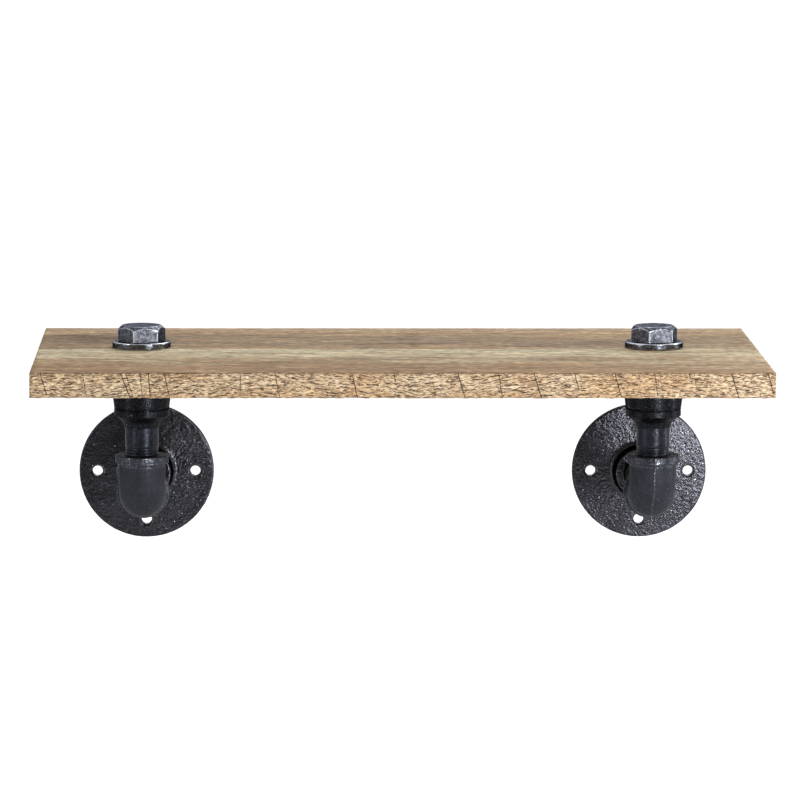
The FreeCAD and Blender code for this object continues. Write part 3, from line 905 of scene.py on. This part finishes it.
def chip_arrises(edge, heights, insets, runs, thickness):
    """Breaks small chips out of the lower arris, and shallower ones out of the upper arris."""
    along = np.outer(runs, ACROSS)
    chips = held(lumps(along + (0, 3, 7), 2.3, 13) + 0.35) + 0.9 * held(lumps(along, 1.1, 14))
    edge[..., 2] += CHIP_HEIGHT * chips * held(1 - heights / 1.4)[:, None]
    fall = CHIP_HEIGHT * 0.6 * np.roll(chips, 37) * held(1 - (thickness - heights) / 1.2)[:, None]
    edge[..., 2] -= fall * (insets < EASING - 0.01)[:, None]


def face_cells(grid, ring, starts):
    """Faces of the board's top or bottom: the grid's cells, and strips that join it to the edge."""
    quads = np.stack([grid[:-1, :-1], grid[1:, :-1], grid[1:, 1:], grid[:-1, 1:]], -1)
    faces = quads.reshape(-1, 4).tolist()
    rims = (grid[:, 0], grid[-1, :], grid[::-1, -1], grid[0, ::-1])
    for fine, rim, start in zip(FINE_CELLS.values(), rims, starts):
        for cell in range(len(rim) - 1):
            first = start + cell * fine
            face = (rim[cell], *ring[first : first + fine + 1], rim[cell + 1])
            faces.append([int(i) for i in face])
        last = start + (len(rim) - 1) * fine
        corner = (ring[(last + step) % len(ring)] for step in range(4))
        faces.append([int(i) for i in (rim[-1], *corner)])
    return faces


def make_board():
    """The board as one closed skin: a fine edge with checks, cuts and chips, and two faces."""
    low, high, centre = box_mm("shelf_board")
    thickness = high[2] - low[2]
    plan, outward, starts = board_plan(low, high)
    heights, insets = board_rows(thickness)
    runs = np.concatenate([[0], np.cumsum(np.linalg.norm(np.diff(plan, axis=0), axis=1))])
    total = runs[-1] + np.linalg.norm(plan[0] - plan[-1])
    pick = np.random.default_rng(PATTERN_SEED)
    checks = draw_checks(runs, heights, total, thickness, pick)
    cut_gap, cut_depth = draw_saw_cuts(runs, heights, total, thickness, pick)

    edge = np.empty((len(heights), len(plan), 3))
    edge[..., :2] = plan - outward * insets[:, None, None]
    edge[..., 2] = (low[2] + heights)[:, None]
    chip_arrises(edge, heights, insets, runs, thickness)
    spots = edge.reshape(-1, 3)
    count = edge_count = len(spots)
    index = np.arange(count).reshape(edge.shape[:2])
    faces, points = faces_between(index[:-1], index[1:]), [spots]
    lines = (
        np.linspace(low[k] + FACE_MARGIN, high[k] - FACE_MARGIN, FACE_CELLS[k] + 1) for k in (0, 1)
    )
    x, y = np.meshgrid(*lines, indexing="ij")
    for ring, height in ((index[0], low[2]), (index[-1], high[2])):
        points.append(np.column_stack([x.ravel(), y.ravel(), np.full(x.size, height)]))
        faces += face_cells(count + np.arange(x.size).reshape(x.shape), ring, starts)
        count += x.size
    points = np.concatenate(points)
    mesh = solid_mesh("shelf_board_sawn", points, faces)

    cuts = cut_depth * near_line(cut_gap, CUT_WIDTH)
    pressed = np.zeros(len(points))
    torn = 0.5 + 0.5 * lumps(spots * (0.5, 0.5, 1.6), 1.1, 3)
    ragged = 0.5 + 0.5 * lumps(spots, 2.6, 5)
    pressed[:edge_count] = 0.05 + 0.16 * torn + 0.1 * ragged
    pressed[:edge_count] += 0.25 * checks.ravel() + 0.45 * cuts.ravel()
    pressed[edge_count:] = 0.05 + 0.05 * lumps(points[edge_count:] * (0.15, 1, 1), 9, 8)
    pressed[index[[0, -1]].ravel()] *= 0.5
    press_in(mesh, pressed)
    for name, marks in (("check", checks), ("cut_gap", cut_gap), ("cut_depth", cut_depth)):
        values = np.zeros(len(points))
        values[:edge_count] = marks.ravel()
        write_mask(mesh, name, values)

    drills = []
    for side in SIDES:
        _, _, bolt = box_mm(f"{side}_clamp_bolt")
        rows = np.array([[0, BOLT_HOLE_RADIUS], [thickness + 2, BOLT_HOLE_RADIUS]])
        route = straight_route((bolt[0], bolt[1], low[2] - 1), UP)
        drills.append(ring_mesh("bolt_hole", *spin(rows, columns=64), route, loop=False))
    mesh = cut_away(mesh, drills)
    lying = np.abs(read_all(mesh.polygons, "normal", 3)[:, 2]) > 0.8
    from_middle = np.abs(read_all(mesh.polygons, "center", 3)[:, 2] - centre[2])
    on_face = lying & (from_middle > thickness / 2 - 0.45)
    piece = finish_piece(mesh, (BOARD_FACE, BOARD_EDGE), "shelf_board")
    piece.data.polygons.foreach_set("material_index", np.where(on_face, 0, 1).astype(np.int32))
    piece.data.update()


# ---------------------------------------------------------------- the pipe fittings
def cut_thread(along, length):
    """How deep the thread is at each place along a nipple, from 0 to 1, running out to nothing."""
    near = np.minimum(along, length - along)
    return held((THREAD_RUN - near) / 2.6) * held(near / 1.5)


def thread_groove(along, angle):
    """The thread's section: 0 on the crest and 1 at the root."""
    turn = (along / THREAD_PITCH - angle / FULL_TURN) % 1
    return 0.5 - 0.5 * np.cos(FULL_TURN * turn)


def make_nipple(node, axis):
    """A length of pipe with a thread at each end."""
    low, high, centre = box_mm(node)
    length = float(np.max(high - low))
    outline = [
        (0, BORE_RADIUS, 0, 0.6),
        (0, THREAD_RADIUS - PIPE_BEVEL, 0.2, 0.3),
        (PIPE_BEVEL, THREAD_RADIUS, 0.2, 0.34),
        (THREAD_RUN, THREAD_RADIUS, 0, 0.2),
        (THREAD_RUN + 0.2, PIPE_RADIUS, 0, 1.4),
        (length - THREAD_RUN - 0.2, PIPE_RADIUS, 0, 0.2),
        (length - THREAD_RUN, THREAD_RADIUS, 0, 0.34),
        (length - PIPE_BEVEL, THREAD_RADIUS, 0.2, 0.3),
        (length, THREAD_RADIUS - PIPE_BEVEL, 0.2, 0.6),
        (length, BORE_RADIUS, 0, 4),
    ]
    along, radius, angle = spin(soft_outline(outline), columns=96)
    groove = THREAD_DEPTH * cut_thread(along, length) * thread_groove(along, angle)
    radius = radius - np.where(radius > THREAD_RADIUS - 0.5, groove, 0)
    route = straight_route(centre - np.array(axis) * length / 2, axis)
    mesh = ring_mesh(f"{node}_pipe", along, radius, angle, route)
    roughen(mesh, 0.04, (0.03, 4.5, 21), (0.01, 1.5, 22))
    finish_piece(mesh, (PIPE_STEEL,), node)


def make_flange(side):
    """A cast plate with a threaded hub and four countersunk screw holes."""
    node = f"{side}_wall_flange"
    _, _, centre = box_mm(node)
    floor = FLANGE_HEIGHT - SOCKET_DEPTH
    outline = [
        (0, BORE_RADIUS, 0.3, 2.5),
        (0, FLANGE_RADIUS, 0.5, 0.8),
        (FLANGE_RIM, FLANGE_RADIUS, 1.0, 0.55),
        (FLANGE_WEB, HUB_FOOT_RADIUS, 3.2, 0.6),
        (FLANGE_HEIGHT, HUB_TOP_RADIUS, 1.1, 0.8),
        (FLANGE_HEIGHT, MOUTH_RADIUS, 0.2, 0.4),
        (FLANGE_HEIGHT - MOUTH_BEVEL, SOCKET_RADIUS, 0, 2.5),
        (floor, SOCKET_RADIUS, 0, 1.5),
        (floor, BORE_RADIUS, 0, 2.5),
    ]
    route = straight_route((centre[0], 0, 0), OUT)
    mesh = ring_mesh(f"{node}_casting", *spin(soft_outline(outline), columns=384), route)
    spots = points_of(mesh)
    from_axis = np.hypot(spots[:, 0] - centre[0], spots[:, 2])
    cast = (spots[:, 1] < -0.7) & (from_axis > MOUTH_RADIUS + 0.3)
    roughen(mesh, 0.17, (0.1, 1.5, 31), (0.05, 6, 32), where=cast)
    drills = []
    behind = 1.0  # the drill starts behind the wall face
    rows = [[0, SCREW_RADIUS], [behind + SINK_START, SCREW_RADIUS]]
    rows = np.array([*rows, [behind + FLANGE_WEB + 1.2, SINK_RADIUS]])
    for angle in np.arange(4) * math.pi / 2:
        x, z = SCREW_CIRCLE * math.cos(angle), SCREW_CIRCLE * math.sin(angle)
        route = straight_route((centre[0] + x, behind, z), OUT)
        drills.append(ring_mesh("screw_hole", *spin(rows, columns=48), route, loop=False))
    mesh = cut_away(mesh, drills)
    finish_piece(mesh, (FLANGE_IRON,), node)


def make_elbow(side):
    """A cast elbow with a band at each mouth and a parting line that stands a little proud."""
    node, ridge = f"{side}_elbow", SEAM_RIDGE[side]
    _, high, centre = box_mm(node)
    origin = np.array([centre[0], high[1] - ELBOW_REACH, 0])
    length = 2 * (ELBOW_REACH - ELBOW_BEND) + ELBOW_BEND * math.pi / 2
    half = [
        (0, MOUTH_RADIUS, 0.2, 0.5),
        (0, BAND_RADIUS, 0.8, 0.6),
        (BAND_LENGTH, BAND_RADIUS, 0.8, 0.4),
        (BAND_LENGTH, ELBOW_RADIUS, 0.7, 0.6),
    ]
    outline = half + [(length - run, radius, easing, 0.6) for run, radius, easing, _ in half[::-1]]
    outline += [
        (length - MOUTH_BEVEL, SOCKET_RADIUS, 0, 2.5),
        (length - SOCKET_DEPTH, SOCKET_RADIUS, 0, 1.5),
        (length - SOCKET_DEPTH, BORE_RADIUS, 0, 2.0),
        (SOCKET_DEPTH, BORE_RADIUS, 0, 1.5),
        (SOCKET_DEPTH, SOCKET_RADIUS, 0, 2.5),
        (MOUTH_BEVEL, SOCKET_RADIUS, 0, 0.4),
    ]
    along, radius, angle = spin(soft_outline(outline), columns=200)
    meander = 0.35 * np.sin(along / 7 + 1) + 0.2 * np.sin(along / 2.3)
    gap = within_half_turn(angle - math.pi / 2) * radius + meander
    seam = np.where(radius > MOUTH_RADIUS + 0.5, near_line(gap, 0.4), 0)
    route = elbow_route(origin, ELBOW_REACH, ELBOW_BEND)
    mesh = ring_mesh(f"{node}_casting", along, radius + ridge * seam, angle, route)
    spots = points_of(mesh)
    roughen(mesh, 0.05 + ridge * 0.5, (0.03, 2.2, 41), (0.04, 7, 42))

    # handling has polished the bands, the metal just past them and a parting line that is proud
    upper = spots[:, 2] - (ELBOW_REACH - BAND_LENGTH - 2.2)
    rear = spots[:, 1] - (origin[1] + ELBOW_REACH - BAND_LENGTH - 1.0)
    bands = held(np.maximum(upper, rear) / 1.2) * (0.6 + 0.4 * lumps(spots, 3.0, 43))
    write_mask(mesh, "polish", np.maximum(bands, 10 * (ridge - 0.1) * seam.ravel()))
    finish_piece(mesh, (ELBOW_IRON,), node)


def make_coupling(side):
    """A coupling with a tapered nose, a bead, a groove and two ribs that ramp up its barrel."""
    node = f"{side}_coupling"
    low, high, centre = box_mm(node)
    height = high[2] - low[2]
    outline = [
        (0, NOSE_BORE_RADIUS + 0.15, 0.1, 0.3),
        (0, NOSE_TIP_RADIUS, 0.2, 0.4),
        (3.2, NOSE_WAIST_RADIUS, 5.0, 0.4),
        (BEAD_LOW + 0.6, BEAD_RADIUS - 1.1, 1.0, 0.4),
        (BEAD_LOW + 1.2, BEAD_RADIUS, 0.6, 0.45),
        (BEAD_HIGH, BEAD_RADIUS, 0.6, 0.3),
        (BEAD_HIGH, GROOVE_RADIUS, 0.2, 0.3),
        (BEAD_HIGH + 1, GROOVE_RADIUS, 0.2, 0.3),
        (BEAD_HIGH + 1, BARREL_RADIUS, 0.3, 0.7),
        (height, BARREL_RADIUS, 0.7, 0.6),
        (height, MOUTH_RADIUS, 0.2, 0.4),
        (height - MOUTH_BEVEL, SOCKET_RADIUS, 0, 2.5),
        (BEAD_LOW, SOCKET_RADIUS, 0, 0.3),
        (BEAD_LOW, NOSE_BORE_RADIUS, 0, 2.5),
        (0.7, NOSE_BORE_RADIUS, 0, 0.3),
    ]
    along, radius, angle = spin(soft_outline(outline), columns=192)

    # each rib is a strip of the barrel that grows prouder towards the board
    share = held((along - RIB_START) / RIB_RAMP)
    proud = RIB_RADIUS + RIB_RISE * share
    from_rib = (angle - math.radians(RIB_TURN[side]) + math.pi / 2) % math.pi - math.pi / 2
    window = held((RIB_HALF_WIDTH - np.abs(from_rib) * radius) / 0.9)
    window = eased(window) * held(share * 40)
    on_barrel = (radius > 15) & (along < height - 0.3)
    ribbed = radius + np.maximum(proud - radius, 0) * window
    radius = np.where(on_barrel, ribbed, radius)
    route = straight_route((centre[0], centre[1], low[2]), UP)
    mesh = ring_mesh(f"{node}_casting", along, radius, angle, route)
    roughen(mesh, 0.06, (0.03, 2, 51), (0.03, 6, 52))
    finish_piece(mesh, (SHADED_COUPLING_IRON,), node)


# ---------------------------------------------------------------- the fasteners
def make_washer(side):
    node = f"{side}_bolt_washer"
    low, high, centre = box_mm(node)
    height = high[2] - low[2]
    outline = [
        (0, WASHER_HOLE_RADIUS, 0.2, 1.5),
        (0, WASHER_RADIUS, 0.5, 0.5),
        (height, WASHER_RADIUS, 0.7, 0.6),
        (height, WASHER_HOLE_RADIUS, 0.4, 0.8),
    ]
    route = straight_route((centre[0], centre[1], low[2]), UP)
    mesh = ring_mesh(f"{node}_disc", *spin(soft_outline(outline), columns=216), route)
    roughen(mesh, 0.08, (0.05, 2.6, 61), (0.03, 1.1, 62))
    finish_piece(mesh, (WASHER_STEEL,), node)


def bolt_rows(shank, angle):
    """Rows (height, radius) down a bolt; heights start at the underside of its head.

    A cone cuts the corners of the head. Its edges are eased and its shank is threaded.
    """
    facing = np.stack([np.cos(angle - math.radians(30 + 60 * k)) for k in range(6)])
    reach = (np.maximum(facing, 0) ** HEX_CORNER_POWER).sum(0) ** (-1 / HEX_CORNER_POWER)
    reach = reach * HEX_APOTHEM
    fall = math.tan(HEX_BEVEL)
    shoulder = HEX_HEIGHT - (reach - HEX_FLAT_RADIUS) * fall
    rows = [
        (HEX_HEIGHT, share * HEX_FLAT_RADIUS)
        for share in (0.05, 0.3, 0.5, 0.7, 0.85, 0.95, 0.985)
    ]
    for share in (0.02, 0.07, 0.25, 0.5, 0.75):
        radius = HEX_FLAT_RADIUS + (reach - HEX_FLAT_RADIUS) * share
        rows.append((HEX_HEIGHT - (radius - HEX_FLAT_RADIUS) * fall, radius))
    soft = 0.3
    for up_cone, down_side, inset in ((soft, 0, 0.06), (soft * 0.3, soft * 0.25, 0), (0, soft, 0)):
        height = shoulder + up_cone * math.sin(HEX_BEVEL) - down_side
        rows.append((height, reach - up_cone * math.cos(HEX_BEVEL) - inset))
    rows += [(shoulder * (1 - share), reach) for share in np.linspace(0.08, 0.93, 12)]
    rows += [(0.35, reach), (0.1, reach - 0.1), (0, reach - 0.35)]
    rows += [(0, THREAD_RADIUS + 0.3 + (reach - THREAD_RADIUS) * share) for share in (0.6, 0.3)]
    rows += [(0, THREAD_RADIUS + 0.25), (-0.25, THREAD_RADIUS)]
    for depth in np.arange(0.6, shank - 1.3, 0.42):
        groove = THREAD_DEPTH * held((depth - 0.8) / 3) * thread_groove(depth, angle)
        rows.append((-depth, THREAD_RADIUS - groove))
    rows += [(1.2 - shank, THREAD_RADIUS - 0.1), (-shank, THREAD_RADIUS - 1.3)]
    return rows + [(-shank, 6.0), (-shank, 2.0)]


def make_bolt(side):
    """A bolt with a hexagonal head and a shank that screws into the coupling."""
    node = f"{side}_clamp_bolt"
    low, high, centre = box_mm(node)
    head = high[2] - HEX_HEIGHT
    angle = np.linspace(0, FULL_TURN, 240, endpoint=False)
    rows = bolt_rows(high[2] - low[2] - HEX_HEIGHT, angle)
    along, radius = (
        np.array([np.broadcast_to(row[k], angle.shape) for row in rows], float) for k in (0, 1)
    )
    turn = math.radians(HEX_TURN[side] + 60)
    side_way = (math.cos(turn), math.sin(turn), 0)
    route = straight_route((centre[0], centre[1], head), UP, side_way)
    mesh = ring_mesh(f"{node}_hex", along, radius, angle, route, loop=False)
    on_head = points_of(mesh)[:, 2] > head + 0.05
    roughen(mesh, 0.05, (0.03, 2.4, 71), (0.015, 1.0, 72), where=on_head)
    finish_piece(mesh, (BOLT_STEEL,), node)


# ---------------------------------------------------------------- the studio
IMAGE_WIDTH = 800  # pixels
ROOM_LEVEL = 0.25  # how white the room in front of the shelf is, as a polished piece shows it


def aim_camera(place, yaw, pitch, roll, focal_pixels):
    """A camera that looks along +Y, turned by yaw to the right and pitched down, in degrees."""
    yaw, pitch, roll = (math.radians(angle) for angle in (yaw, pitch, roll))
    ahead = Vector(
        (math.sin(yaw) * math.cos(pitch), math.cos(yaw) * math.cos(pitch), -math.sin(pitch))
    )
    level = Vector((math.cos(yaw), -math.sin(yaw), 0))
    above = level.cross(ahead)
    across = level * math.cos(roll) + above * math.sin(roll)
    up = above * math.cos(roll) - level * math.sin(roll)
    lens = bpy.data.cameras.new("studio_camera")
    lens.sensor_width = 36
    lens.lens = focal_pixels * lens.sensor_width / IMAGE_WIDTH
    lens.clip_end = 50
    camera = new_object("studio_camera", lens)
    turned = Matrix((across, up, -ahead)).transposed().to_4x4()
    turned.translation = Vector(place) * MM
    camera.matrix_world = turned
    scene.camera = camera


def hang_softbox(name, azimuth, height, distance, size, power):
    """A soft lamp that faces the shelf from distance metres out and height metres up.

    Azimuth is in degrees round the shelf from the front, positive to its right.
    """
    lamp = bpy.data.lights.new(name, "AREA")
    lamp.shape = "RECTANGLE"
    lamp.size, lamp.size_y = size
    lamp.energy = power
    holder = new_object(name, lamp)
    angle = math.radians(azimuth)
    target = Vector((0, -0.12, 0.04))
    place = target + Vector((math.sin(angle) * distance, -math.cos(angle) * distance, height))
    holder.location = place
    holder.rotation_mode = "QUATERNION"
    holder.rotation_quaternion = (target - place).to_track_quat("-Z", "Y")


def backdrop_level(tree, mirrored):
    """How white the backdrop is: to the camera and through glass, to a mirror, to other light."""
    path = put(tree, "LightPath", {}).node.outputs
    in_mirror = calc(tree, "MULTIPLY", path["Is Glossy Ray"], mirrored)
    through = calc(tree, "MAXIMUM", path["Is Camera Ray"], path["Is Transmission Ray"])
    return calc(tree, "MAXIMUM", in_mirror, through)


def lay_floor(size, height):
    """A pale floor under the shelf, which keeps its shadow."""
    mesh = bpy.data.meshes.new("studio_floor")
    work = bmesh.new()
    bmesh.ops.create_grid(work, x_segments=8, y_segments=8, size=size)
    work.to_mesh(mesh)
    work.free()
    floor = new_object("studio_floor", mesh)
    floor.location.z = height
    finish, tree, shader = new_finish("pale_floor")
    place = put(tree, "TexCoord", {}, out="Object")
    dim = fit_range(tree, length_of(tree, place), 0.2, 0.55, 0.3, 0.87)
    mirrored = fit_range(tree, part_of(tree, place, 1), -0.9, 0.1, ROOM_LEVEL, 1.0)
    glow = calc(tree, "MULTIPLY", backdrop_level(tree, mirrored), dim)
    values = {"Base Color": (0.85, 0.85, 0.85, 1), "Roughness": 0.9, "Specular IOR Level": 0.0}
    fill(tree, shader, {**values, "Emission Color": (1, 1, 1, 1), "Emission Strength": glow})
    mesh.materials.append(finish)


def fill_sky(strength):
    """White behind the shelf, dimmer in a mirror on the side of the room, and a soft fill."""
    world = bpy.data.worlds.new("studio_sky")
    scene.world = world
    world.use_nodes = True
    tree = world.node_tree
    ahead = part_of(tree, put(tree, "TexCoord", {}, out="Generated"), 1)
    level = backdrop_level(tree, fit_range(tree, ahead, -0.5, 0.25, ROOM_LEVEL, 1.0))
    light = calc(tree, "MAXIMUM", level, strength)
    fill(tree, tree.nodes["Background"].inputs, {"Color": (1, 1, 1, 1), "Strength": light})


# ---------------------------------------------------------------- put it together
aim_camera((-81.5, -3262.1, 487.2), yaw=1.51, pitch=7.69, roll=0.21, focal_pixels=4977.9)
make_board()
for side_name in SIDES:
    make_flange(side_name)
    make_nipple(f"{side_name}_arm_nipple", OUT)
    make_elbow(side_name)
    make_nipple(f"{side_name}_riser_nipple", UP)
    make_coupling(side_name)
    make_washer(side_name)
    make_bolt(side_name)
lay_floor(size=45.0, height=-0.32)
fill_sky(strength=0.22)
for lamp_name, azimuth, height, distance, size, power in (
    ("top_softbox", 160, 1.4, 1.1, (1.6, 1.4), 26),
    ("right_softbox", 28, 0.04, 1.2, (0.3, 0.32), 12.4),
    ("left_softbox", -60, 0.2, 1.3, (0.2, 0.7), 4.5),
    ("side_softbox", 95, 0.15, 0.9, (0.15, 0.8), 4),
):
    hang_softbox(lamp_name, azimuth, height, distance, size, power)
scene.view_settings.view_transform = "Standard"
